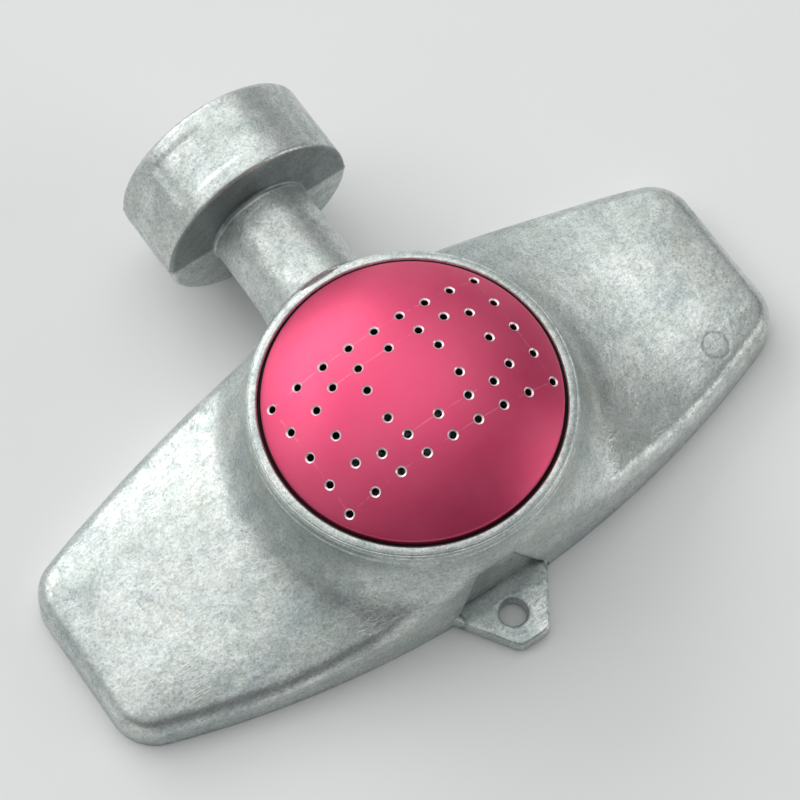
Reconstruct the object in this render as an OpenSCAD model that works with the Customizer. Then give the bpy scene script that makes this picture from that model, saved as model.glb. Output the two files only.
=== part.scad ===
// Static lawn sprinkler: a die-cast winged body with a round turret, a drilled rose plate
// held in the turret by a rubber gasket, and a threaded inlet socket with a strainer washer.
// Millimetres. The origin is where the turret's axis meets the ground. +X runs along the
// wings, +Y points to the inlet socket, and +Z is up.

/* [Base] */
// Half of the base length, along the wings
half_length = 66; // [60:1:80]
// Half of the base width, beside the turret
half_width = 28.4; // [28.2:0.1:31]
// Half of the base width at each wing end
end_half_width = 15.8; // [14:0.2:20]
// Radius of the corners at the wing ends
corner_radius = 5; // [4:0.5:8]
// Height of a wing along its middle
wing_height = 9; // [8.6:0.1:11]
// Height of the upright foot round the edge of the base
foot_height = 3.6; // [3:0.1:4]
// Radius that carries the foot over into the top of the wing
edge_round = 2.4; // [2:0.1:3]
// Height of the hollow under each wing
hollow_height = 4.6; // [4.4:0.1:5]

/* [Turret] */
// Height of the rim that holds the rose
rim_height = 26.4; // [26:0.2:29]
// Outer radius of the rim
rim_radius = 26.9; // [26.8:0.1:27.4]
// Radius of the opening inside the rolled lip
lip_radius = 24.9; // [24.8:0.1:25.1]
// Radius of the concave sweep from the turret down to the wings
sweep_radius = 15.5; // [14:0.5:17]
// Radius of the water chamber
chamber_radius = 22.5; // [20:0.5:22.6]
// Thickness of the chamber's floor
floor_thickness = 3; // [2.5:0.1:4]

/* [Inlet] */
// Outer radius of the inlet socket
socket_radius = 17.5; // [16.5:0.1:18.5]
// Distance from the turret's axis to the back of the socket
socket_back = 44.2; // [43:0.1:46]
// Distance from the turret's axis to the mouth of the socket
socket_mouth = 59.6; // [59:0.1:62]
// Radius inside the crests of the 3/4 inch pipe thread
thread_minor_radius = 12.06; // [11.9:0.01:12.2]
// Length of the threaded wall
thread_length = 8.9; // [8:0.1:9.2]
// Outer radius of the neck between the turret and the socket
neck_radius = 9.1; // [8.5:0.1:10]
// Radius of the water passage through the neck
passage_radius = 6.2; // [5:0.1:6.4]

/* [Rose] */
// Radius of the domed part of the rose
rose_radius = 24.4; // [24.1:0.1:24.5]
// Height above the rim at which the dome would meet its step, if the edge were not rolled
rose_step = 0.6; // [0.5:0.1:1.2]
// Rise of the dome from its edge to its middle
dome_rise = 7.8; // [6:0.1:9]
// Thickness of the rose's sheet
rose_thickness = 0.9; // [0.7:0.1:1]
// Diameter of each spray hole
spray_hole = 1.25; // [0.9:0.05:1.4]
// Half of the spray pattern's length
pattern_half_x = 19.8; // [18:0.1:20]
// Half of the spray pattern's width
pattern_half_y = 10.85; // [9:0.05:11]

/* [Lug] */
// Sideways place of the lug's middle
lug_x = -1.7; // [-3:0.1:3]
// Distance from the turret's axis to the middle of the lug's hole
lug_hole_y = 32.3; // [32:0.1:33]
// Radius of the lug's hole
lug_hole_radius = 2.35; // [2:0.05:2.6]
// Thickness of the lug
lug_thickness = 3; // [2.5:0.1:3.5]

/* [Strainer] */
// Outer radius of the rubber washer
washer_radius = 11.85; // [11.6:0.05:11.86]
// Thickness of the rubber washer
washer_thickness = 2.8; // [2.4:0.1:2.9]
// Depth of the dished mesh
mesh_depth = 2.5; // [1.5:0.1:3]

/* [Hidden] */
$fn = 96;
over = 1;                                    // how far a cut runs past a face
side_steps = 9;                              // points along a quarter of the curved side
corner_steps = 6;                            // points along a corner

// Each long side is one arc of a large circle, centred beyond the other side
side_bulge = half_width - end_half_width;
side_radius = (half_length * half_length + side_bulge * side_bulge) / (2 * side_bulge);
side_centre = side_radius - half_width;

// Turret stack, from the lip down to the ledge that carries the gasket
lip_thickness = 0.8;
gasket_radius = 26;
gasket_top_leg = 0.6;
gasket_bottom_leg = 0.9;
gasket_bottom_bore = 22.9;
flange_radius = 25.4;
groove_top = rim_height - lip_thickness;
flange_top = groove_top - gasket_top_leg;
flange_bottom = flange_top - rose_thickness;
ledge_height = flange_bottom - gasket_bottom_leg;
sweep_top = rim_height - 3.4;
wall_lean = 1.4;                             // how far the turret's side walls lean in

// Rose: the dome is part of a sphere
dome_edge = rim_height + rose_step;
dome_radius = (rose_radius * rose_radius + dome_rise * dome_rise) / (2 * dome_rise);
dome_centre = dome_edge + dome_rise - dome_radius;
dome_steps = 18;
edge_roll = 0.7;                             // width and height of the rolled edge
edge_angle = asin((rose_radius - edge_roll) / dome_radius);

// Inlet: the socket's axis is as high as its radius, so that it rests on the ground
axis_height = socket_radius;
mouth_chamfer = 1.2;
relief_radius = 13.4;
thread_start = socket_mouth - mouth_chamfer - thread_length;
seat = thread_start - 3;
strainer_back = seat + 0.05;
rim_thickness = 1.2;
rim_outer_radius = 8.4;
rim_inner_radius = 6.8;
washer_bore = 7.5;
mesh_thickness = 0.35;
mesh_flat_radius = 5.6;

// Lug outline, out from the base
lug_root_half = 9.2;
lug_tip_half = 2.9;
lug_tip_y = 38.1;
lug_hole_x = lug_x - 0.6;
pocket_foot_half = 8;
pocket_top_half = 3;
pocket_top = 15.5;
pocket_lean = 7;
pocket_reach = 8;

// Half width of the base at x, drawn in from its edge by inset
function side_y(x, inset) = sqrt(pow(side_radius, 2) - x * x) - side_centre - inset;

// Angle by which the side leans in where a corner starts
function side_tilt(x) = asin(x / side_radius);

// Corner radius of an outline drawn in by inset
function inner_corner(inset) = max(corner_radius - inset, 0.8);

// One quarter of the outline, from the middle of the side round to the wing's end
function quarter(inset) =
    let (r = inner_corner(inset),
         cx = half_length - inset - r,
         tilt = side_tilt(cx),
         tangent_x = cx + r * sin(tilt),
         cy = side_y(tangent_x, inset) - r * cos(tilt))
    concat(
        [for (i = [0:side_steps]) let (x = tangent_x * i / side_steps) [x, side_y(x, inset)]],
        [for (i = [1:corner_steps]) let (a = (90 - tilt) * (1 - i / corner_steps))
            [cx + r * cos(a), cy + r * sin(a)]]);

// The whole outline, from its quarter and three mirror images of it
function outline(inset) =
    let (q = quarter(inset), last = len(q) - 1)
    concat(
        q,
        [for (i = [last:-1:1]) [q[i][0], -q[i][1]]],
        [for (i = [0:last]) [-q[i][0], -q[i][1]]],
        [for (i = [last:-1:1]) [-q[i][0], q[i][1]]]);

// Turns a shape drawn along +Z so that it runs along the inlet's axis, towards +Y
module along_inlet() {
    translate([0, 0, axis_height])
        rotate([-90, 0, 0])
            children();
}

// A thin slice of the wings at height z, drawn in by inset
module slice(z, inset) {
    translate([0, 0, z])
        linear_extrude(0.02)
            polygon(outline(inset));
}

// The wings: an upright foot, a rounded edge and a gently crowned top
module wings() {
    shoulder = foot_height + edge_round;
    crown_inset = 9.5;
    linear_extrude(foot_height)
        polygon(outline(0));
    hull() {
        for (a = [0:22.5:90])
            slice(foot_height - 0.02 + edge_round * sin(a), edge_round * (1 - cos(a)));
        for (u = [0.33, 0.66, 1])
            slice(shoulder + (wing_height - shoulder) * (1 - pow(1 - u, 2)), edge_round + crown_inset * u);
    }
}

// A cone as large as the arc of one long side, which leans in towards its top
module side_wall(side) {
    height = rim_height + over;
    translate([0, -side * side_centre, 0])
        cylinder(r1 = side_radius, r2 = side_radius - wall_lean, h = height, $fn = 360);
}

// The turret: an upright rim, a small step and a concave sweep with a straight tail, cut off by
// both long sides
module turret() {
    step_radius = rim_radius + 0.2;
    sweep_end = 60;
    sweep = [for (a = [0:7.5:sweep_end])
        [step_radius + sweep_radius * (1 - cos(a)), sweep_top - sweep_radius * sin(a)]];
    last = sweep[len(sweep) - 1];
    tail_foot = 1;
    intersection() {
        rotate_extrude()
            polygon(concat(
                [[0, tail_foot], [0, rim_height], [rim_radius - 0.4, rim_height], [rim_radius, rim_height - 0.4],
                 [rim_radius, sweep_top + 1], [step_radius, sweep_top + 0.6]],
                sweep,
                [[last[0] + (last[1] - tail_foot) * tan(sweep_end), tail_foot]]));
        side_wall(1);
        side_wall(-1);
    }
}

// The neck and the inlet socket, before they are bored
module inlet() {
    bevel = 1;
    along_inlet() {
        translate([0, 0, chamber_radius])
            cylinder(r = neck_radius, h = socket_back - chamber_radius + over);
        rotate_extrude()
            polygon([
                [0, socket_back], [socket_radius - bevel, socket_back],
                [socket_radius, socket_back + bevel], [socket_radius, socket_mouth - bevel],
                [socket_radius - bevel, socket_mouth], [0, socket_mouth]]);
    }
}

// The lug, a flat plate that narrows towards its tip
module lug() {
    root_y = half_width - 2;
    linear_extrude(lug_thickness)
        polygon([
            [lug_x - lug_root_half, -root_y], [lug_x - lug_root_half, -half_width],
            [lug_x - lug_tip_half, -lug_tip_y], [lug_x + lug_tip_half, -lug_tip_y],
            [lug_x + lug_root_half, -half_width], [lug_x + lug_root_half, -root_y]]);
}

// The leaning flat pocket above the lug, which leaves room for a screw's head
module lug_pocket() {
    translate([lug_x, -half_width, lug_thickness])
        rotate([90 - pocket_lean, 0, 0])
            linear_extrude(pocket_reach)
                polygon([
                    [-pocket_foot_half, 0], [pocket_foot_half, 0],
                    [pocket_top_half, pocket_top - lug_thickness], [-pocket_top_half, pocket_top - lug_thickness]]);
}

// The hollows under both wings, round the chamber's wall
module wing_hollows() {
    edge_wall = 4.2;
    chamber_wall = 29.4;
    difference() {
        translate([0, 0, -over])
            linear_extrude(hollow_height + over)
                polygon(outline(edge_wall));
        translate([0, 0, -2 * over])
            cylinder(r = chamber_wall, h = hollow_height + 4 * over);
    }
}

// The chamber, the ledge and groove for the gasket, and the opening inside the lip
module chamber() {
    rotate_extrude()
        polygon([
            [0, floor_thickness], [chamber_radius, floor_thickness], [chamber_radius, ledge_height],
            [gasket_radius, ledge_height], [gasket_radius, groove_top], [lip_radius, groove_top],
            [lip_radius, rim_height + over], [0, rim_height + over]]);
}

// The water passage, the washer's seat, the thread's bore and the chamfered mouth
module inlet_bores() {
    along_inlet() {
        translate([0, 0, chamber_radius / 2])
            cylinder(r = passage_radius, h = seat - chamber_radius / 2 + over);
        translate([0, 0, seat])
            cylinder(r = relief_radius, h = thread_start - seat);
        translate([0, 0, seat + over])
            cylinder(r = thread_minor_radius, h = socket_mouth - seat);
        translate([0, 0, socket_mouth - mouth_chamfer])
            cylinder(r1 = thread_minor_radius, r2 = thread_minor_radius + 2 * mouth_chamfer, h = 2 * mouth_chamfer);
    }
}

// The die-cast body, in one piece with its neck, socket and lug
module body_casting() {
    color([0.74, 0.76, 0.75])
        difference() {
            union() {
                wings();
                turret();
                inlet();
                lug();
            }
            chamber();
            inlet_bores();
            wing_hollows();
            lug_pocket();
            translate([lug_hole_x, -lug_hole_y, -over])
                cylinder(r = lug_hole_radius, h = lug_thickness + 2 * over);
        }
}

// Places of the spray holes: an outer rectangle, two inner rows, two end columns and a middle four
function spray_pattern() =
    let (gap_x = pattern_half_x / 4, gap_y = pattern_half_y / 2,
         row_y = pattern_half_y * 0.63, near_x = gap_x * 1.18, far_x = near_x + gap_x)
    concat(
        [for (i = [-4:4], s = [-1, 1]) [i * gap_x, s * pattern_half_y]],
        [for (i = [-1:1], s = [-1, 1]) [s * pattern_half_x, i * gap_y]],
        [for (x = [-far_x, -near_x, 0, near_x, far_x], s = [-1, 1]) [x, s * row_y]],
        [for (i = [-1:1], s = [-1, 1]) [s * (pattern_half_x - gap_x), i * gap_y]],
        [for (s = [-1, 1], t = [-1, 1]) [s * gap_x * 1.39, t * gap_y * 0.525]]);

// A point of the dome's section, at an angle from the axis and a distance from the sphere's centre
function dome_point(radius, angle) = [radius * sin(angle), dome_centre + radius * cos(angle)];

// The rose: a domed sheet with a rolled edge, an upright step and a flat flange that the gasket grips
module rose_plate() {
    inner_step = rose_radius - rose_thickness;
    inner_dome = dome_radius - rose_thickness;
    inner_angle = asin(inner_step / inner_dome);
    outer = [for (i = [0:dome_steps]) dome_point(dome_radius, edge_angle * i / dome_steps)];
    inner = [for (i = [dome_steps:-1:0]) dome_point(inner_dome, inner_angle * i / dome_steps)];
    color([0.83, 0.22, 0.4])
        difference() {
            rotate_extrude()
                polygon(concat(
                    outer,
                    [[rose_radius, dome_edge - edge_roll], [rose_radius, flange_top], [flange_radius, flange_top],
                     [flange_radius, flange_bottom], [inner_step, flange_bottom]],
                    inner));
            for (p = spray_pattern())
                translate([0, 0, dome_centre])
                    rotate([0, asin(norm(p) / dome_radius), atan2(p[1], p[0])])
                        translate([0, 0, dome_radius - 2 * rose_thickness])
                            cylinder(d = spray_hole, h = 3 * rose_thickness, $fn = 24);
        }
}

// The gasket: a rubber ring of U section round the rose's flange
module rose_gasket() {
    color([0.08, 0.08, 0.08])
        rotate_extrude()
            polygon([
                [gasket_bottom_bore, ledge_height], [gasket_radius, ledge_height],
                [gasket_radius, groove_top], [rose_radius, groove_top],
                [rose_radius, flange_top], [flange_radius, flange_top],
                [flange_radius, flange_bottom], [gasket_bottom_bore, flange_bottom]]);
}

// The rubber washer in the socket, with a slot round its bore for the strainer's rim
module inlet_washer() {
    middle = strainer_back + washer_thickness / 2;
    color([0.12, 0.12, 0.12])
        along_inlet()
            rotate_extrude()
                polygon([
                    [washer_bore, strainer_back], [washer_radius, strainer_back],
                    [washer_radius, strainer_back + washer_thickness],
                    [washer_bore, strainer_back + washer_thickness],
                    [washer_bore, middle + rim_thickness / 2], [rim_outer_radius, middle + rim_thickness / 2],
                    [rim_outer_radius, middle - rim_thickness / 2], [washer_bore, middle - rim_thickness / 2]]);
}

// The rim that is folded over the edge of the mesh
module strainer_rim() {
    middle = strainer_back + washer_thickness / 2;
    fold = rim_outer_radius - 0.45;
    color([0.8, 0.68, 0.4])
        along_inlet()
            rotate_extrude()
                polygon([
                    [rim_inner_radius, middle - rim_thickness / 2], [rim_outer_radius, middle - rim_thickness / 2],
                    [rim_outer_radius, middle + rim_thickness / 2], [rim_inner_radius, middle + rim_thickness / 2],
                    [rim_inner_radius, middle + mesh_thickness / 2], [fold, middle + mesh_thickness / 2],
                    [fold, middle - mesh_thickness / 2], [rim_inner_radius, middle - mesh_thickness / 2]]);
}

// The mesh: a flat edge inside the rim and a dish that reaches back into the passage
module strainer_mesh() {
    middle = strainer_back + washer_thickness / 2;
    edge = rim_outer_radius - 0.45;
    back_face = middle - mesh_thickness / 2;
    dish = [for (i = [0:10]) let (a = 90 * i / 10)
        [mesh_flat_radius * cos(a), -mesh_depth * sin(a)]];
    color([0.7, 0.71, 0.7])
        along_inlet()
            rotate_extrude()
                polygon(concat(
                    [[edge, middle + mesh_thickness / 2], [edge, back_face]],
                    [for (p = dish) [p[0], back_face + p[1]]],
                    [for (i = [10:-1:0]) [dish[i][0] * 0.94, middle + mesh_thickness / 2 + dish[i][1]]]));
}

body_casting();
rose_plate();
rose_gasket();
inlet_washer();
strainer_rim();
strainer_mesh();
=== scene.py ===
"""A static lawn sprinkler: a die-cast winged body, a drilled rose in a rubber gasket, and a strainer washer.

Sizes inside the classes are millimetres and become metres where a mesh is made. The origin is
where the turret's axis meets the ground, +X runs along the wings and +Y points to the inlet.
"""

import logging
import math
from collections.abc import Callable
from dataclasses import dataclass
from enum import Enum

import bpy
import numpy as np
from mathutils import Matrix, Vector


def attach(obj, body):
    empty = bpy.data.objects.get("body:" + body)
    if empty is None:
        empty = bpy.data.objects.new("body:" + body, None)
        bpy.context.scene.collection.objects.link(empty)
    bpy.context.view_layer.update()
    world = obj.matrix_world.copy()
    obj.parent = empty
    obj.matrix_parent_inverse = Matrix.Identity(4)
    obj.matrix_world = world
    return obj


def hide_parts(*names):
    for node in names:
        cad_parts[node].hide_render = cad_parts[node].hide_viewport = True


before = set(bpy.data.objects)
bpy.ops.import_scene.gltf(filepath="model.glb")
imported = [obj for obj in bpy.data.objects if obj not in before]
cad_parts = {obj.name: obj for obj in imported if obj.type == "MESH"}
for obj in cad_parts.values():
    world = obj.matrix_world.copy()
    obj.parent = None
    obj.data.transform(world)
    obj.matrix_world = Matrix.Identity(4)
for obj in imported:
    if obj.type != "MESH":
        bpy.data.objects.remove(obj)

LOG = logging.getLogger("lawn_sprinkler")
MM = 0.001
Array = np.ndarray
Socket = bpy.types.NodeSocket
RANGE_INPUTS = ("From Min", "From Max", "To Min", "To Max")

# Steps of the halving, and steps that a ray takes on its way to the skin
HALVINGS = 40
MARCHES = 90

# Places of a Mix node's factor and two colours among its inputs, and of its colour among its outputs
MIX_INPUTS, MIX_OUTPUT = (0, 6, 7), 2

# The pocket above the lug: its left and right edges at the ground and how far they lean in for
# each millimetre of height, and the height of its top
POCKET_LEFT, POCKET_LEFT_LEAN = 10.7, 0.28
POCKET_RIGHT, POCKET_RIGHT_LEAN = 8.4, 0.49
POCKET_TOP = 16.2


class Rides(Enum):
    """The two bodies that pieces ride on."""

    SPRINKLER = "sprinkler"
    STRAINER = "strainer"


# ---------------------------------------------------------------- shapes


def ease(value: Array) -> Array:
    """Returns 3v^2 - 2v^3, with v held between 0 and 1."""
    v = np.clip(value, 0.0, 1.0)
    return v * v * (3.0 - 2.0 * v)


def fillet_join(a: Array, b: Array, radius: float | Array) -> Array:
    """Joins two solids, with a fillet along the line where they meet.

    Both are signed distances, negative inside. The result is the larger of the radius and the
    nearer distance, less the length of the two shortfalls from the radius taken as a right angle.

    Args:
        a: Signed distance to the first solid.
        b: Signed distance to the second solid.
        radius: Radius of the fillet.

    Returns:
        Signed distance to the joined solid.
    """
    near = np.maximum(radius, np.minimum(a, b))
    return near - np.hypot(np.maximum(radius - a, 0), np.maximum(radius - b, 0))


def rounded_trim(a: Array, b: Array, radius: float | Array) -> Array:
    """Keeps what two solids share, with the edge between them rounded over.

    Args:
        a: Signed distance to the first solid.
        b: Signed distance to the second solid.
        radius: Radius of the rounded edge.

    Returns:
        Signed distance to the shared solid.
    """
    far = np.minimum(-radius, np.maximum(a, b))
    return far + np.hypot(np.maximum(radius + a, 0), np.maximum(radius + b, 0))


def halved(low: Array, high: Array, inside: Callable[[Array], Array]) -> Array:
    """Finds by repeated halving how far each value can go from low to high and stay inside.

    Args:
        low: Values that are inside.
        high: Values that are outside.
        inside: Tells which values are inside.

    Returns:
        The last values found inside.
    """
    for _ in range(HALVINGS):
        middle = (low + high) / 2
        kept = inside(middle)
        low, high = np.where(kept, middle, low), np.where(kept, high, middle)
    return low


def softened(corners: Array, cut: Array, closed: bool, steps: int = 5) -> Array:
    """Rounds every corner of a profile with a short parabola.

    A corner P with neighbours A and B is replaced by (1-u)^2 A' + 2u(1-u) P + u^2 B', where A' and
    B' lie a cut's length from P towards A and B. One more point on each straight, a little further
    off, keeps the flats flat under smooth shading.

    Args:
        corners: The profile's corners, n rows of 2 numbers.
        cut: Length cut from each straight at each corner, n numbers.
        closed: Whether the last corner joins the first.
        steps: Points along each rounded corner.

    Returns:
        The rounded profile's points. An open profile keeps its two ends.
    """
    before, after = np.roll(corners, 1, axis=0) - corners, np.roll(corners, -1, axis=0) - corners
    back, ahead = np.linalg.norm(before, axis=1), np.linalg.norm(after, axis=1)
    reach = np.minimum(cut, 0.38 * np.minimum(back, ahead))[:, None, None]
    before, after = (before / back[:, None])[:, None], (after / ahead[:, None])[:, None]
    u = np.linspace(0, 1, steps)[None, :, None]
    arc = corners[:, None] + reach * ((1 - u) ** 2 * before + u ** 2 * after)
    lead = corners[:, None] + 1.3 * reach * before
    tail = corners[:, None] + 1.3 * reach * after
    rounded = np.concatenate([lead, arc, tail], axis=1)
    if closed:
        return rounded.reshape(-1, 2)
    inner = rounded[1:-1].reshape(-1, 2)
    return np.concatenate([corners[:1], inner, corners[-1:]])


def spread(curves: Array, count: int, bend_weight: float) -> Array:
    """Places points along every curve of a family, closer together at bends.

    The running measure is length plus bend_weight times the angle turned. Points lie at equal
    steps of that measure, found for all curves by one interpolation.

    Args:
        curves: The family, as curves by points by 2 numbers.
        count: Points wanted on each curve.
        bend_weight: Length that one radian of turning counts for.

    Returns:
        The family resampled, as curves by count by 2 numbers.
    """
    step = np.diff(curves, axis=1)
    length = np.linalg.norm(step, axis=2) + 1e-9
    heading = np.unwrap(np.arctan2(step[..., 1], step[..., 0]), axis=1)
    turned = np.abs(np.diff(heading, axis=1, prepend=heading[:, :1]))
    window = np.ones(9) / 9
    turned = np.apply_along_axis(lambda row: np.convolve(row, window, "same"), 1, turned)
    measure = np.cumsum(length + bend_weight * np.minimum(turned, 0.5), axis=1)
    measure = np.concatenate([np.zeros((len(curves), 1)), measure], axis=1)
    measure /= measure[:, -1:]
    row = 2.0 * np.arange(len(curves))[:, None]
    known = (measure + row).ravel()
    wanted = (np.linspace(0, 1, count)[None] + row).ravel()
    placed = [np.interp(wanted, known, curves[..., k].ravel()) for k in range(2)]
    return np.stack(placed, axis=-1).reshape(len(curves), count, 2)


@dataclass
class Surface:
    """One closed surface: its points in millimetres, and its faces as rows of point numbers."""

    points: Array
    quads: Array
    fans: Array

    @classmethod
    def from_grid(cls, grid: Array, ring: bool = False) -> "Surface":
        """Closes a grid of points into a surface.

        Point (i, j) joins (i+1, j) and (i, j+1), and the columns wrap round. The rows wrap too if
        ring is true. Otherwise a fan of triangles closes each end at the middle of its last row.

        Args:
            grid: Rows by columns by 3 numbers.
            ring: Whether the last row joins the first.

        Returns:
            The surface, with its faces turned outwards.
        """
        rows, columns = grid.shape[:2]
        points = grid.reshape(-1, 3)
        number = np.arange(rows * columns).reshape(rows, columns)
        lower = number if ring else number[:-1]
        upper = np.roll(number, -1, axis=0) if ring else number[1:]
        quads = np.stack(
            [lower, np.roll(lower, -1, axis=1), np.roll(upper, -1, axis=1), upper], axis=-1
        ).reshape(-1, 4)
        fans = np.zeros((0, 3), int)
        if not ring:
            first, last = number[0], number[-1]
            poles = np.stack([grid[0].mean(axis=0), grid[-1].mean(axis=0)])
            points = np.concatenate([points, poles])
            top, bottom = rows * columns, rows * columns + 1
            fans = np.concatenate([
                np.stack([np.roll(first, -1), first, np.full(columns, top)], axis=1),
                np.stack([last, np.roll(last, -1), np.full(columns, bottom)], axis=1),
            ])
        made = cls(points, quads, fans)
        return made if made.volume() > 0 else made.turned()

    def volume(self) -> float:
        """Returns six times the volume inside, as the sum of corner products over the faces."""
        halves = np.concatenate([self.quads[:, [0, 1, 2]], self.quads[:, [0, 2, 3]], self.fans])
        a, b, c = (self.points[halves[:, k]] for k in range(3))
        return float(np.einsum("ij,ij->", a, np.cross(b, c)))

    def turned(self) -> "Surface":
        """Returns the surface with every face turned over."""
        return Surface(self.points, self.quads[:, ::-1], self.fans[:, ::-1])


def denser(profile: Array, gap: float) -> Array:
    """Adds points to an open profile, so that no two are further apart than a gap.

    Args:
        profile: Rows of 2 numbers.
        gap: The longest distance wanted between two points.

    Returns:
        The profile with its own points and the added ones, in order along its length.
    """
    length = np.concatenate([[0.0], np.cumsum(np.linalg.norm(np.diff(profile, axis=0), axis=1))])
    regular = np.arange(gap, length[-1], gap)
    near = np.abs(regular[:, None] - length[None]).min(axis=1)
    wanted = np.sort(np.concatenate([length, regular[near > 0.3 * gap]]))
    return np.stack([np.interp(wanted, length, profile[:, k]) for k in range(2)], axis=1)


def turned_round(profile: Array, columns: int) -> Array:
    """Turns a profile of radius and height about the upright axis.

    Args:
        profile: Rows of radius and height.
        columns: Points round each turn.

    Returns:
        A grid, as rows by columns by 3 numbers.
    """
    angle = np.linspace(0, 2 * np.pi, columns, endpoint=False)
    radius, height = profile[:, :1], profile[:, 1:]
    flat = np.zeros((1, columns))
    return np.stack([radius * np.cos(angle), radius * np.sin(angle), height + flat], axis=-1)


def laid_on_inlet(grid: Array, axis_height: float) -> Array:
    """Lays a grid that stands on the upright axis along the inlet's axis, so that +Z becomes +Y."""
    return np.stack([grid[..., 0], grid[..., 2], axis_height - grid[..., 1]], axis=-1)


def make_piece(
    name: str, surfaces: list[Surface], body: Rides, slot: str, *stands_for: str
) -> bpy.types.Object:
    """Puts surfaces into one smooth mesh and hangs it on its body.

    Args:
        name: The piece's name.
        surfaces: The closed surfaces that it is made of.
        body: The body that it rides on.
        slot: The material slot that its finish would belong to; not used.
        stands_for: The frame's nodes that it replaces.

    Returns:
        The new object.
    """
    starts = np.cumsum([0] + [len(s.points) for s in surfaces])
    points = np.concatenate([s.points for s in surfaces]) * MM
    quads = np.concatenate([s.quads + n for s, n in zip(surfaces, starts)])
    fans = np.concatenate([s.fans + n for s, n in zip(surfaces, starts)])
    mesh = bpy.data.meshes.new(name)
    mesh.vertices.add(len(points))
    mesh.vertices.foreach_set("co", points.ravel())
    corner = np.concatenate([quads.ravel(), fans.ravel()]).astype(np.int32)
    sides = np.concatenate([np.full(len(quads), 4), np.full(len(fans), 3)])
    mesh.loops.add(len(corner))
    mesh.loops.foreach_set("vertex_index", corner)
    mesh.polygons.add(len(sides))
    mesh.polygons.foreach_set("loop_start", (np.cumsum(sides) - sides).astype(np.int32))
    mesh.update(calc_edges=True)
    mesh.polygons.foreach_set("use_smooth", np.ones(len(sides), bool))
    mesh.validate()
    piece = bpy.data.objects.new(name, mesh)
    bpy.context.collection.objects.link(piece)
    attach(piece, body.value)
    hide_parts(*stands_for)
    LOG.info("%s: %d faces, on %s", name, len(sides), body.value)
    return piece


# ---------------------------------------------------------------- finishes


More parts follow.
